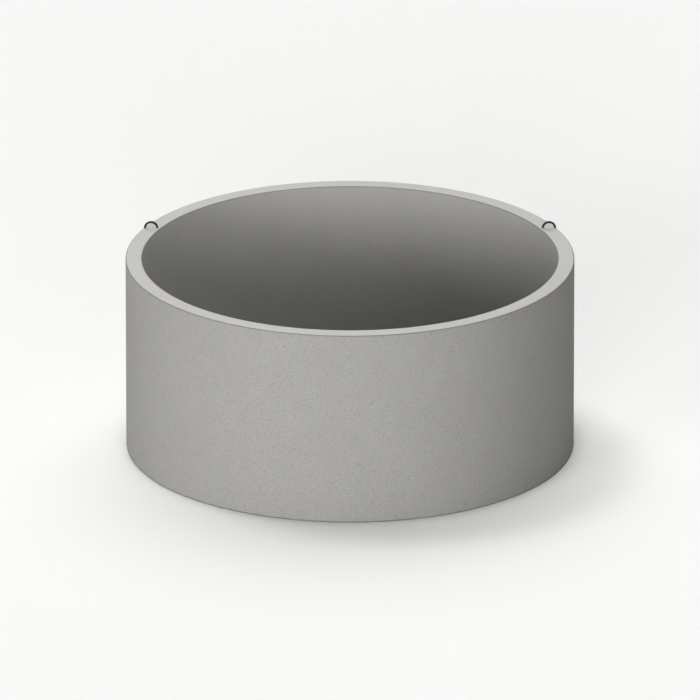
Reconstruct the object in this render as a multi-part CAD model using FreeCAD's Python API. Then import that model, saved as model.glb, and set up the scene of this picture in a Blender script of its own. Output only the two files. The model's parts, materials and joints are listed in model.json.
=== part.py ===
# Precast concrete wall ring for wells, inspection chambers and culvert shafts.
#
# The ring is one plain cylindrical casting that stands on its end, with flat butt ends
# and lightly rounded arrises. Two lifting loops of smooth round bar are cast into the
# top end, one at each side, both behind the ring's widest diameter. Each loop is a half
# circle above the concrete, on two straight legs that end in hooks inside the wall.
#
# Frame: millimetres, +Z up along the ring's axis, +Y towards the loops' side,
# origin at the centre of the bottom end.
import FreeCAD
import Part

import math
import os

# The casting
INNER_DIAMETER = 2500.0
WALL_THICKNESS = 100.0
RING_HEIGHT = 1190.0
ARRIS_RADIUS = 6.0  # on all four circular edges

# The lifting loops
BAR_DIAMETER = 14.0
LOOP_INSIDE_RADIUS = 30.0
LEG_ABOVE = 6.0  # straight leg that shows between the top end and the crown's half circle
LOOP_ANGLE = 22.5  # from the ring's X axis towards +Y, in degrees
LOOP_DEPTH = 300.0  # from the top end to the lowest point of the hooks
HOOK_INSIDE_RADIUS = 15.0
HOOK_TAIL = 36.0  # straight bar past each hook's bend

# Worked out from the sizes above
inner_radius = INNER_DIAMETER / 2
outer_radius = inner_radius + WALL_THICKNESS
middle_radius = inner_radius + WALL_THICKNESS / 2
bar_radius = BAR_DIAMETER / 2
crown_radius = LOOP_INSIDE_RADIUS + bar_radius
crown_centre_z = RING_HEIGHT + LEG_ABOVE
hook_radius = HOOK_INSIDE_RADIUS + bar_radius
hook_centre_z = RING_HEIGHT - LOOP_DEPTH + bar_radius + hook_radius

SIDES = {"left": -1, "right": 1}


def plain_ring():
    """The casting before the loops are set in it: a tube with rounded arrises."""
    outside = Part.makeCylinder(outer_radius, RING_HEIGHT)
    bore = Part.makeCylinder(inner_radius, RING_HEIGHT)
    tube = outside.cut(bore)
    arrises = [edge for edge in tube.Edges if isinstance(edge.Curve, Part.Circle)]
    return tube.makeFillet(min(ARRIS_RADIUS, WALL_THICKNESS / 3), arrises)


def loop_centre(side):
    """Where a loop stands: on the middle of the wall, at LOOP_ANGLE behind the X axis."""
    angle = math.radians(LOOP_ANGLE)
    return FreeCAD.Vector(side * middle_radius * math.cos(angle), middle_radius * math.sin(angle), 0)


def hook_path(foot, side):
    """Straight leg and hook below a foot of the crown, from the crown down to the tail's end.

    The hook turns along the wall's curve, so its tail stands as far from the ring's axis
    as its leg does, and both keep the same cover of concrete.
    """
    up = FreeCAD.Vector(0, 0, 1)
    half_turn = math.degrees(math.asin(hook_radius / math.hypot(foot.x, foot.y)))
    along = FreeCAD.Vector(-side * foot.y, side * foot.x, 0).normalize()
    along = FreeCAD.Rotation(up, side * half_turn).multVec(along)
    bend_start = FreeCAD.Vector(foot.x, foot.y, hook_centre_z)
    bend_low = bend_start + along * hook_radius - up * hook_radius
    bend_end = bend_start + along * 2 * hook_radius
    tail_end = bend_end + up * HOOK_TAIL
    return [
        Part.LineSegment(foot, bend_start).toShape(),
        Part.Arc(bend_start, bend_low, bend_end).toShape(),
        Part.LineSegment(bend_end, tail_end).toShape(),
    ]


def lifting_loop(side):
    """One bent bar: hook, leg, half-round crown, leg and hook."""
    across = FreeCAD.Vector(crown_radius, 0, 0)
    centre = loop_centre(side) + FreeCAD.Vector(0, 0, crown_centre_z)
    first_foot = centre - across
    second_foot = centre + across
    top = centre + FreeCAD.Vector(0, 0, crown_radius)
    crown = Part.Arc(first_foot, top, second_foot).toShape()
    edges = hook_path(first_foot, side)[::-1] + [crown] + hook_path(second_foot, side)
    path = Part.Wire(Part.__sortEdges__(edges))
    start = path.OrderedVertexes[0].Point
    section = Part.Face(Part.Wire(Part.makeCircle(bar_radius, start, FreeCAD.Vector(0, 0, 1))))
    return path.makePipe(section)


def concrete_ring(loops):
    """The casting with the space that each loop's bar takes up in it."""
    ring = plain_ring()
    for loop in loops:
        ring = ring.cut(loop)
    return ring.Solids[0]


lifting_loops = {name: lifting_loop(side) for name, side in SIDES.items()}
parts = {f"lifting_loop_{name}": loop for name, loop in lifting_loops.items()}
parts["concrete_ring"] = concrete_ring(lifting_loops.values())

os.makedirs("parts", exist_ok=True)
for node, shape in parts.items():
    shape.exportStep(f"parts/{node}.step")
    print(node, shape.ShapeType, len(shape.Solids), shape.isValid(), round(shape.Volume))
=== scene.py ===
import json
import math

import bpy
import numpy as np
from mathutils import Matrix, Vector


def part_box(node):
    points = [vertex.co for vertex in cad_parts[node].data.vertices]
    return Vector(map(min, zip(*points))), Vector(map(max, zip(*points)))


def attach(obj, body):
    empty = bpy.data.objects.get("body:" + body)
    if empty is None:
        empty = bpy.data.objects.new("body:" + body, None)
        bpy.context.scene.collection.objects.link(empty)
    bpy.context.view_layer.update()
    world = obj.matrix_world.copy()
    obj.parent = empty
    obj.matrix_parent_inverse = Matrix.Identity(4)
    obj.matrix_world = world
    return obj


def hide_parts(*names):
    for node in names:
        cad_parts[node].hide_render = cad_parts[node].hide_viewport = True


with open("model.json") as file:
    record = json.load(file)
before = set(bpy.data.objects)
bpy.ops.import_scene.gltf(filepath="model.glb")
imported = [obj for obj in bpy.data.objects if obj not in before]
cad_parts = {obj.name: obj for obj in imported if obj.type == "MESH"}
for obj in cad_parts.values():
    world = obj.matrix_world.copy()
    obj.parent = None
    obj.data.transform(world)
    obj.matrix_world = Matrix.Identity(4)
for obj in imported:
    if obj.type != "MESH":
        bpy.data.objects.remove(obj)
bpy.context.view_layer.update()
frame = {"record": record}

# ---- The casting -----------------------------------------------------------------------
# A plain ring of dense vibrated concrete, cast standing between two steel shells. The
# shells leave the round faces smooth but for sand, paste and small air holes, the top end
# is struck off and floated, and a strip in each corner of the mould rounds the arrises.
ARRIS_RADIUS = 0.006
STEPS_ROUND = 1200  # points round the ring
STEPS_ARRIS = 9  # points across each arris
STEPS_FACES = (15, 5, 15, 3)  # points inside the outside face, top, bore and bottom
SHELL_SWELL = 0.0008  # how far the shells are out of true
FLOAT_SWELL = 0.0012  # how uneven the floated top end is
SWELL_WAVES = 12  # cosines that an unevenness is made of
ARRIS_WANDER = 0.0010  # how much an arris's rounding varies
CHIPS = 90  # small breaks along each arris
CHIP_DEPTH = 0.0032
CHIP_HALF_WIDTH = (0.004, 0.016)
CONCRETE_COLOUR = (0.235, 0.231, 0.220)
FLOATED_AND_PAINTED_LIGHT_PALER = 0.95  # share by which the top end is paler, partly its floated finish and partly painted light from above
ARRIS_PAINTED_SHADE = 0.62  # share by which the arrises are darker, a painted shade along the edges
CONCRETE_RELIEF = 0.0012

ring_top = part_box("concrete_ring")[1].z
outside_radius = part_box("concrete_ring")[1].x
mounts = {mount["name"]: mount for mount in frame["record"]["mounts"]}
bore_radius = mounts["bore"]["dims"]["r_mm"] / 1000


def wall_section():
    """Outline of the wall's section: four straight faces joined by quarter circles.

    A point of a quarter circle is its centre plus the arris radius times (cos turn, sin
    turn), where turn is the direction that the surface faces, from outwards towards up.
    Gives each point's radius, height, turn and arris number, from the outside foot up.
    """
    outer, inner = outside_radius - ARRIS_RADIUS, bore_radius + ARRIS_RADIUS
    lower, upper = ARRIS_RADIUS, ring_top - ARRIS_RADIUS
    centres = np.array(((outer, lower), (outer, upper), (inner, upper), (inner, lower)))
    turns = np.linspace(0, math.pi / 2, STEPS_ARRIS) + np.arange(-1, 3)[:, None] * math.pi / 2
    arcs = centres[:, None] + ARRIS_RADIUS * np.stack((np.cos(turns), np.sin(turns)), axis=-1)
    pieces = []
    for number, steps in enumerate(STEPS_FACES):
        share = np.arange(1, steps + 1)[:, None] / (steps + 1)
        start, end = arcs[number][-1], arcs[(number + 1) % 4][0]
        place = np.concatenate((arcs[number], start + (end - start) * share))
        turn = np.concatenate((turns[number], np.full(steps, turns[number][-1])))
        pieces.append(np.column_stack((place, turn, np.full(len(turn), number))))
    return np.concatenate(pieces).T


def swell(angle, along, orders, seed, tilt=0.0):
    """Gentle unevenness from 0 to 1 that closes round the ring.

    Half of one plus the mean of some cosines, each of a random whole order round the
    ring, with its own tilt along the section and its own phase.
    """
    draw = np.random.default_rng(seed)
    order = draw.integers(*orders, size=(SWELL_WAVES, 1, 1))
    lean = draw.uniform(-tilt, tilt, size=(SWELL_WAVES, 1, 1))
    phase = draw.uniform(0, 2 * math.pi, size=(SWELL_WAVES, 1, 1))
    return 0.5 + 0.5 * np.cos(order * angle + lean * along + phase).mean(axis=0)


def arris_breaks(angle, seed):
    """Small breaks along one arris, as a depth from 0 to 1 at each angle round the ring.

    The deepest of many bells, exp(-(distance along the arris / half width) squared). A
    bell's height is a random number squared, so most breaks are shallow.
    """
    draw = np.random.default_rng(seed)
    place = draw.uniform(0, 2 * math.pi, size=(CHIPS, 1))
    half_width = draw.uniform(*CHIP_HALF_WIDTH, size=(CHIPS, 1))
    depth = draw.uniform(0.15, 1, size=(CHIPS, 1)) ** 2
    distance = ((angle - place + math.pi) % (2 * math.pi) - math.pi) * outside_radius
    return (depth * np.exp(-(distance / half_width) ** 2)).max(axis=0)


def casting_surface():
    """The wall's section carried round the axis, its faces and arrises slightly worn back.

    A point is (radius cos angle, radius sin angle, height), moved against the direction
    it faces by the shells' swell, the floated top's swell and the arris's wear.
    """
    radius, height, turn, arris = (row[:, None] for row in wall_section())
    angle = np.linspace(0, 2 * math.pi, STEPS_ROUND, endpoint=False)
    shell = SHELL_SWELL * swell(angle, height, orders=(2, 14), seed=11, tilt=5)
    top_end = FLOAT_SWELL * swell(angle, radius, orders=(9, 80), seed=12, tilt=40)
    wander = np.concatenate([swell(angle, 0, orders=(20, 260), seed=20 + number)
                             for number in range(4)])
    breaks = np.stack([arris_breaks(angle, seed=30 + number) for number in range(4)])
    wear = (ARRIS_WANDER * wander + CHIP_DEPTH * breaks)[arris[:, 0].astype(int)]
    back = (shell * np.cos(turn) ** 2 + top_end * np.sin(turn).clip(0) ** 2
            + wear * np.sin(2 * turn) ** 2)
    radius = radius - back * np.cos(turn)
    height = height - back * np.sin(turn)
    return np.stack((radius * np.cos(angle), radius * np.sin(angle), height), axis=-1)


def closed_faces(across, along):
    """Four-sided faces of a grid of points that closes on itself both ways.

    Face (i, j) joins points (i, j), (i, j+1), (i+1, j+1) and (i+1, j).
    """
    number = np.arange(across * along).reshape(across, along)
    right, up = np.roll(number, -1, axis=1), np.roll(number, -1, axis=0)
    return np.stack((number, right, np.roll(right, -1, axis=0), up), axis=-1).reshape(-1, 4)


class Wire:
    """One output socket of a material. Arithmetic on it adds Math nodes to its tree."""

    def __init__(self, socket):
        self.socket = socket

    def maths(self, operation, *values):
        tree = self.socket.id_data
        return add_node(tree, "ShaderNodeMath", {"operation": operation}, dict(enumerate(values)))

    def __add__(self, other):
        return self.maths("ADD", self, other)

    def __sub__(self, other):
        return self.maths("SUBTRACT", self, other)

    def __rsub__(self, other):
        return self.maths("SUBTRACT", other, self)

    def __mul__(self, other):
        return self.maths("MULTIPLY", self, other)

    def __pow__(self, other):
        return self.maths("POWER", self, other)

    __radd__ = __add__
    __rmul__ = __mul__

    def least(self, other):
        return self.maths("MINIMUM", self, other)

    def most(self, other):
        return self.maths("MAXIMUM", self, other)

    def rise(self, low, high):
        """0 up to low, 1 from high on, and a smooth rise between them."""
        return add_node(self.socket.id_data, "ShaderNodeMapRange",
                        {"interpolation_type": "SMOOTHSTEP"},
                        {"Value": self, "From Min": low, "From Max": high})


def add_node(tree, kind, settings, inputs, output=0):
    """Add a node: its settings first, then the value or link of each input socket."""
    node = tree.nodes.new(kind)
    for name, value in settings.items():
        setattr(node, name, value)
    for key, value in inputs.items():
        if isinstance(value, Wire):
            tree.links.new(value.socket, node.inputs[key])
        else:
            node.inputs[key].default_value = value
    return Wire(node.outputs[output]) if node.outputs else None


class Finish:
    """A new material, with the nodes that its look is made of."""

    def __init__(self, name):
        self.material = bpy.data.materials.new(name)
        self.material.use_nodes = True
        self.material.node_tree.nodes.clear()
        self.place = self.node("ShaderNodeTexCoord", output="Object")

    def node(self, kind, settings={}, inputs={}, output=0):
        return add_node(self.material.node_tree, kind, settings, inputs, output)

    def axis(self, name):
        """The place's distance along X, Y or Z."""
        return self.node("ShaderNodeSeparateXYZ", {}, {0: self.place}, name)

    def cloud(self, scale, detail, roughness=0.5, stretch=(1, 1, 1)):
        """Cloudy noise about zero, with scale clouds to the metre."""
        stretched = self.node("ShaderNodeVectorMath", {"operation": "MULTIPLY"},
                              {0: self.place, 1: stretch})
        inputs = {"Vector": stretched, "Scale": scale, "Detail": detail, "Roughness": roughness}
        return self.node("ShaderNodeTexNoise", {}, inputs) - 0.5

    def spots(self, scale, rarity, size, shift):
        """Round spots, 1 inside and 0 outside.

        A cell of the pattern, scale to the metre, has a spot if its random number is over
        rarity, and the spot's radius grows with that number, to size cells.
        """
        moved = self.node("ShaderNodeVectorMath", {"operation": "ADD"}, {0: self.place, 1: shift})
        cells = {"Vector": moved, "Scale": scale}
        distance = self.node("ShaderNodeTexVoronoi", {}, cells, "Distance")
        chance = self.node("ShaderNodeSeparateColor", {}, {
            0: self.node("ShaderNodeTexVoronoi", {}, cells, "Color")}, "Red")
        return ((chance - rarity) * (size / (1 - rarity)) - distance).rise(0, size * 0.4)

    def tinted(self, colour, tone):
        """A colour made lighter or darker by a factor."""
        return self.node("ShaderNodeVectorMath", {"operation": "SCALE"}, {0: colour, "Scale": tone})

    def mixed(self, first, second, share):
        """A share of the second colour over the first, by the Mix node's colour sockets."""
        first, second = (colour if isinstance(colour, Wire) else (*colour, 1)
                         for colour in (first, second))
        return self.node("ShaderNodeMix", {"data_type": "RGBA"}, {0: share, 6: first, 7: second}, 2)

    def relief(self, height, depth):
        """A normal that makes a pattern stand out by depth metres where its height is 1."""
        return self.node("ShaderNodeBump", {}, {"Distance": depth, "Height": height})

    def surface(self, **sockets):
        """The finished surface, from the Principled shader's sockets."""
        inputs = {name.replace("_", " "): value for name, value in sockets.items()}
        skin = self.node("ShaderNodeBsdfPrincipled", {}, inputs)
        self.node("ShaderNodeOutputMaterial", {}, {"Surface": skin})
        return self.material


def concrete_finish():
    """Dry grey concrete: clouded paste, sand and stone grains, air holes, painted shade on the
    arrises.

    The tone is the paste's clouds and its speckle, which is strongest on the outside face,
    times the top end's paleness, partly its floated finish and partly painted light from
    above, and the arrises' darkness, which is painted shade.
    """
    finish = Finish("dry_grey_concrete")
    x, y, z = (finish.axis(name) for name in "XYZ")
    from_axis = (x * x + y * y) ** 0.5
    into_wall = (outside_radius - from_axis).least(from_axis - bore_radius)
    into_end = (ring_top - z).least(z)
    arris = 1 - into_wall.most(into_end).rise(0.002, 0.009)
    top_end = (z - ring_top).rise(-0.005, -0.002)
    against_shell = (from_axis - outside_radius).rise(-0.012, -0.006) * (1 - top_end)
    air_holes = finish.spots(34, 0.72, 0.17, (3.1, 1.7, 5.3))
    pinholes = finish.spots(95, 0.66, 0.26, (7.7, 2.9, 0.4))
    dark_grains = finish.spots(60, 0.60, 0.24, (1.3, 8.8, 2.2))
    pale_grains = finish.spots(70, 0.62, 0.24, (9.1, 4.6, 6.5))
    sand = finish.cloud(420, 2, 0.6)
    paste = (0.07 * finish.cloud(2.1, 3) + 0.06 * finish.cloud(11, 4, 0.6)
             + 0.05 * finish.cloud(60, 3) + 0.035 * finish.cloud(9, 2, 0.5, stretch=(1, 1, 0.08)))
    speckle = (1.25 * finish.cloud(150, 5, 0.75) + 0.20 * sand - 0.50 * air_holes
               - 0.45 * pinholes - 0.40 * dark_grains + 0.25 * pale_grains)
    # Part of the top end's paleness is painted light from above.
    # The arrises' darkness is painted shade along the edges.
    tone = ((1 + paste + speckle * (0.35 + 0.65 * against_shell))
            * (1 + FLOATED_AND_PAINTED_LIGHT_PALER * top_end) * (1 - ARRIS_PAINTED_SHADE * arris))
    height = (0.35 * sand + 0.25 * finish.cloud(150, 3) + 0.15 * finish.cloud(1100, 1)
              - 1.6 * air_holes - 0.7 * pinholes + 0.1 * pale_grains)
    return finish.surface(Base_Color=finish.tinted(CONCRETE_COLOUR, tone),
                          Roughness=0.9 + 0.12 * finish.cloud(80, 2),
                          Specular_IOR_Level=0.25,
                          Normal=finish.relief(height, CONCRETE_RELIEF))


def new_piece(name, corners, faces, material):
    """A smooth-shaded mesh object, with its corners in the ring's own frame."""
    mesh = bpy.data.meshes.new(name)
    mesh.from_pydata(corners, [], faces)
    mesh.polygons.foreach_set("use_smooth", np.ones(len(mesh.polygons), dtype=bool))
    mesh.materials.append(material)
    piece = bpy.data.objects.new(name, mesh)
    bpy.context.scene.collection.objects.link(piece)
    return piece


# Cement paste draws up round the bars where the lifting loops leave the top end.
COLLAR_REACH = 0.005
COLLAR_RISE = 0.003
COLLAR_ROOT = 0.003  # how far a collar goes down into the casting
STEPS_SKIRT = 9  # points up a collar's skirt
STEPS_COLLAR = 32  # points round a collar

# An eye is at the underside of its loop's crown, one bar below the loop's top.
eyes = {name: np.array(mounts["lifting_eye_" + name]["pos_m"]) for name in ("left", "right")}
loop_low, loop_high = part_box("lifting_loop_left")
bar_radius = (loop_high.z - eyes["left"][2]) / 2
crown_radius = eyes["left"][0] - loop_low.x - bar_radius
crown_height = eyes["left"][2] + bar_radius - crown_radius


def leg_axes():
    """Where the loops' four legs stand, as points on the top end."""
    across = np.array((crown_radius, 0))
    return [eye[:2] + side * across for eye in eyes.values() for side in (-1, 1)]


def collar_surface(axis, seed):
    """A skirt round a leg: its height is the rise times (1 - share) squared, where share is
    how far a point is from the bar, and its reach and rise vary smoothly round the leg.

    The section goes from the root up the skirt to the bar, and closes inside the bar.
    """
    share = np.linspace(1, 0, STEPS_SKIRT)[:, None]
    angle = np.linspace(0, 2 * math.pi, STEPS_COLLAR, endpoint=False)
    uneven = 0.55 + 0.9 * swell(angle, 0, orders=(1, 6), seed=seed)[0]
    radius = bar_radius + COLLAR_REACH * share * uneven
    height = COLLAR_RISE * (1 - share) ** 2 * uneven
    inside = np.full_like(angle, bar_radius / 2)[None]
    root = np.full_like(angle, -COLLAR_ROOT)[None]
    radius = np.concatenate((radius[:1], radius, inside, inside))
    height = np.concatenate((root, height, height[-1:], root)) + ring_top - FLOAT_SWELL / 2
    return np.stack((axis[0] + radius * np.cos(angle),
                     axis[1] + radius * np.sin(angle),
                     height), axis=-1)


surfaces = [casting_surface()]
surfaces += [collar_surface(axis, 40 + number) for number, axis in enumerate(leg_axes())]
corners = np.concatenate([surface.reshape(-1, 3) for surface in surfaces])
starts = np.cumsum([0] + [surface.shape[0] * surface.shape[1] for surface in surfaces[:-1]])
faces = np.concatenate([closed_faces(*surface.shape[:2]) + start
                        for surface, start in zip(surfaces, starts)])
casting = new_piece("ring_casting", corners, faces.tolist(), concrete_finish())
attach(casting, "root")
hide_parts("concrete_ring")

# ---- The lifting loops -----------------------------------------------------------------
# Each loop is one length of plain hot-rolled bar, cropped at both ends and bent cold: a
# half-round crown on two straight legs that end in hooks. It is hung in the mould before
# the pour, so only its crown shows, dark with mill scale, its feet smeared with cement.
HOOK_RADIUS = 0.022
HOOK_TAIL = 0.036
CROPPED = 0.0012  # length of the cropped bar's rounded end
CROPPED_NARROWER = 0.25  # share of the bar's radius that the rounded end takes
BEND_FLATTENING = 0.03  # share of the bar's radius that a bend takes
ROLLED_SWELL = 0.012  # share of the bar's radius by which its surface varies
STEPS_CROWN, STEPS_LEG, STEPS_HOOK, STEPS_BAR = 61, 25, 25, 40
SCALE_COLOUR = (0.013, 0.0127, 0.0124)
SCALE_BROWN = (0.022, 0.017, 0.014)
SMEAR_COLOUR = (0.30, 0.295, 0.28)
SMEAR_RISE = 0.010  # how far up the legs the cement is smeared
SMEAR_RAGGED = 0.010  # how ragged the smear's upper edge is
STEEL_RELIEF = 0.0003


def leg_and_hook(foot, away, low):
    """The bar's line from a foot of the crown down: points, directions, sides and bends.

    The leg runs straight down. The hook is a half circle in the upright plane that holds
    the direction away, and its tail runs straight up, with its last points close together
    at the rounded end. A side is a level direction square to the bar: it swings on the leg
    from the crown's plane to the hook's.
    """
    bend_height = low + bar_radius + HOOK_RADIUS
    leg = np.linspace(foot[2], bend_height, STEPS_LEG)[1:-1]
    turn = np.linspace(0, math.pi, STEPS_HOOK)
    tail = HOOK_TAIL - np.array((HOOK_TAIL / 2, CROPPED, CROPPED / 3, 0))
    straight, end = 0 * leg, np.ones_like(tail)
    out = np.concatenate((straight, HOOK_RADIUS * (1 - np.cos(turn)), 2 * HOOK_RADIUS * end))
    height = np.concatenate((leg, bend_height - HOOK_RADIUS * np.sin(turn), bend_height + tail))
    heading = np.concatenate((straight, turn, math.pi * end))[:, None]
    swing = np.concatenate((np.linspace(0, 1, len(leg)), 1 + 0 * turn, end))[:, None]
    points = np.outer(out, away) + (foot[0], foot[1], 0) + np.outer(height, (0, 0, 1))
    along = np.sin(heading) * away - np.cos(heading) * (0, 0, 1)
    side = (1 - swing) * (0, 1, 0) + swing * np.cross(away, (0, 0, 1))
    bend = np.concatenate((straight, np.sin(turn), 0 * end))
    return points, along, side / np.linalg.norm(side, axis=1)[:, None], bend


def bar_line(eye, low):
    """The whole bar's line: hook, leg, half-round crown, leg and hook.

    A crown point is the crown's centre plus its radius times (cos turn, 0, sin turn). A
    hook turns along the wall's curve: its tail is as far from the ring's axis as its leg.
    """
    turn = np.linspace(math.pi, 0, STEPS_CROWN)[:, None]
    centre = np.array((eye[0], eye[1], crown_height))
    crown = centre + crown_radius * (np.cos(turn) * (1, 0, 0) + np.sin(turn) * (0, 0, 1))
    along = np.sin(turn) * (1, 0, 0) - np.cos(turn) * (0, 0, 1)
    side = np.tile((0.0, 1.0, 0.0), (STEPS_CROWN, 1))
    ends = []
    for foot in (crown[0], crown[-1]):
        lean = math.asin(HOOK_RADIUS / math.hypot(foot[0], foot[1]))
        bearing = math.atan2(foot[1], abs(foot[0])) + math.pi / 2 + lean
        away = np.array((math.copysign(1, foot[0]) * math.cos(bearing), math.sin(bearing), 0))
        ends.append(leg_and_hook(foot, away, low))
    first = [rows[::-1] for rows in ends[0]]
    first[1] = -first[1]  # the first end runs from its hook up to the crown
    middle = (crown, along, side, np.sin(turn[:, 0]))
    return [np.concatenate(rows) for rows in zip(first, middle, ends[1])]


def bar_surface(eye, low, seed):
    """A round section carried along the bar's line, slightly flattened where it is bent.

    A point is the line's point plus the bar's radius times (cos angle times the side
    direction plus sin angle times the direction square to both).
    """
    points, along, side, bend = bar_line(eye, low)
    length = np.concatenate(((0,), np.linalg.norm(np.diff(points, axis=0), axis=1).cumsum()))
    to_end = np.minimum(length, length[-1] - length)
    cropped = 1 - CROPPED_NARROWER * (1 - to_end / CROPPED).clip(0) ** 2
    angle = np.linspace(0, 2 * math.pi, STEPS_BAR, endpoint=False)
    rolled = 1 - ROLLED_SWELL * swell(angle, length[:, None], orders=(0, 4), seed=seed, tilt=120)
    radius = (bar_radius * cropped[:, None] * rolled)[..., None]
    flattened = (1 - BEND_FLATTENING * bend)[:, None, None]
    across, square = side[:, None], np.cross(along, side)[:, None]
    around = angle[None, :, None]
    section = np.cos(around) * across + flattened * np.sin(around) * square
    return points[:, None] + radius * section


def steel_finish():
    """Dark mill scale, faintly brown in places, with the feet smeared with cement."""
    finish = Finish("dark_mill_scale")
    browned = finish.cloud(55, 3).rise(0.02, 0.22)
    ragged = finish.axis("Z") + SMEAR_RAGGED * finish.cloud(160, 3)
    bare = ragged.rise(ring_top + 0.3 * SMEAR_RISE, ring_top + SMEAR_RISE)
    scale = finish.mixed(SCALE_COLOUR, SCALE_BROWN, 0.6 * browned)
    tone = 1 + 0.5 * finish.cloud(240, 3) + 0.3 * finish.cloud(30, 2)
    flakes = finish.cloud(900, 2) + 1.5 * finish.cloud(180, 2)
    return finish.surface(Base_Color=finish.mixed(SMEAR_COLOUR, finish.tinted(scale, tone), bare),
                          Roughness=0.65 + 0.25 * finish.cloud(120, 3) + 0.25 * (1 - bare),
                          Specular_IOR_Level=0.22,
                          Normal=finish.relief(flakes, STEEL_RELIEF))


steel = steel_finish()
for seed, (name, eye) in enumerate(eyes.items()):
    node = "lifting_loop_" + name
    points = bar_surface(eye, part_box(node)[0].z, 50 + seed)
    count = points.shape[0] * STEPS_BAR
    bands = closed_faces(*points.shape[:2]).reshape(-1, STEPS_BAR, 4)
    sides = bands[:-1].reshape(-1, 4).tolist()
    ends = [list(range(STEPS_BAR))[::-1], list(range(count - STEPS_BAR, count))]
    loop = new_piece(node + "_bar", points.reshape(-1, 3), sides + ends, steel)
    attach(loop, "root")
    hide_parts(node)

# ---- The floor -------------------------------------------------------------------------
# A plain pale studio floor, wide enough to fill the view from any side. It is one flat
# face, and no part of the ring.
FLOOR_HALF = 150.0
FLOOR_COLOUR = (0.80, 0.80, 0.792)

floor_finish = Finish("pale_floor").surface(
    Base_Color=(*FLOOR_COLOUR, 1), Roughness=0.9, Specular_IOR_Level=0.0)
floor_corners = FLOOR_HALF * np.array(((-1, -1, 0), (1, -1, 0), (1, 1, 0), (-1, 1, 0)))
floor = new_piece("studio_floor", floor_corners, [(0, 1, 2, 3)], floor_finish)

# ---- Light -----------------------------------------------------------------------------
# Broad soft lights far away, low ones from the front and the left and high ones from behind
# and overhead, and a soft lamp hung over the ring's mouth that lights the left of its bore.
SUNS = {  # azimuth, elevation and spread in degrees, and strength
    "low_front": (10, 3, 24, 1.0),
    "low_front_left": (-10, 8, 24, 2.0),
    "low_left": (-40, 3, 24, 2.8),
    "high_back_left": (-135, 66, 16, 0.6),
    "high_back": (180, 60, 60, 2.0),
    "overhead": (0, 90, 10, 0.85),
}
LAMP_AZIMUTH = 90
LAMP_OUT, LAMP_HEIGHT, LAMP_WIDTH = 0.3, 1.5, 0.4  # out from the axis, up, and across the lamp
LAMP_AIM_OUT, LAMP_AIM_HEIGHT = -1.25, 1.15  # the bore's far side, just below its mouth
LAMP_POWER = 8.0
BACKDROP_COLOUR = (0.93, 0.93, 0.92)


def towards(azimuth, elevation):
    """Unit vector from the ring towards a place seen at an azimuth and elevation in degrees.
    Azimuth 0 is the viewer's side, and 90 the right."""
    bearing, climb = math.radians(azimuth), math.radians(elevation)
    return np.array((math.sin(bearing) * math.cos(climb),
                     -math.cos(bearing) * math.cos(climb),
                     math.sin(climb)))


def turned_to(direction):
    """The turn that points a light's or a camera's view along a direction."""
    return Vector(direction).to_track_quat("-Z", "Y").to_euler()


for name, (azimuth, elevation, spread, strength) in SUNS.items():
    light = bpy.data.lights.new(name, "SUN")
    light.angle, light.energy = math.radians(spread), strength
    sun = bpy.data.objects.new(name, light)
    sun.rotation_euler = turned_to(-towards(azimuth, elevation))
    bpy.context.scene.collection.objects.link(sun)

light = bpy.data.lights.new("mouth_lamp", "AREA")
light.shape, light.size, light.energy = "DISK", LAMP_WIDTH, LAMP_POWER
lamp = bpy.data.objects.new("mouth_lamp", light)
lamp_side = towards(LAMP_AZIMUTH, 0)
lamp.location = lamp_side * LAMP_OUT + (0, 0, LAMP_HEIGHT)
lamp.rotation_euler = turned_to(lamp_side * LAMP_AIM_OUT + (0, 0, LAMP_AIM_HEIGHT) - lamp.location)
lamp.visible_camera = False
bpy.context.scene.collection.objects.link(lamp)

# The backdrop above the floor's far edge is as pale as the floor, and gives no light.
world = bpy.data.worlds.new("pale_backdrop")
bpy.context.scene.world = world
world.use_nodes = True
world.node_tree.nodes["Background"].inputs["Color"].default_value = (*BACKDROP_COLOUR, 1)
for ray in ("diffuse", "glossy", "transmission", "scatter"):
    setattr(world.cycles_visibility, ray, False)
bpy.context.scene.view_settings.view_transform = "Standard"

# ---- Camera ----------------------------------------------------------------------------
# Far away with a very long lens, so upright lines stay upright, looking down at the middle
# of the ring.
VIEW_ELEVATION = 20.5
FRAME_WIDTH = 4.217  # metres across the picture at the ring
LENS_MM = 1000.0

camera_data = bpy.data.cameras.new("view")
camera_data.lens = LENS_MM
camera_distance = FRAME_WIDTH * LENS_MM / camera_data.sensor_width
camera_data.clip_start, camera_data.clip_end = camera_distance / 100, camera_distance * 10
camera_side = Vector(towards(0, VIEW_ELEVATION))
camera = bpy.data.objects.new("view", camera_data)
camera.location = Vector((0, 0, ring_top / 2)) + camera_distance * camera_side
camera.rotation_euler = turned_to(-camera_side)
bpy.context.scene.collection.objects.link(camera)
bpy.context.scene.camera = camera
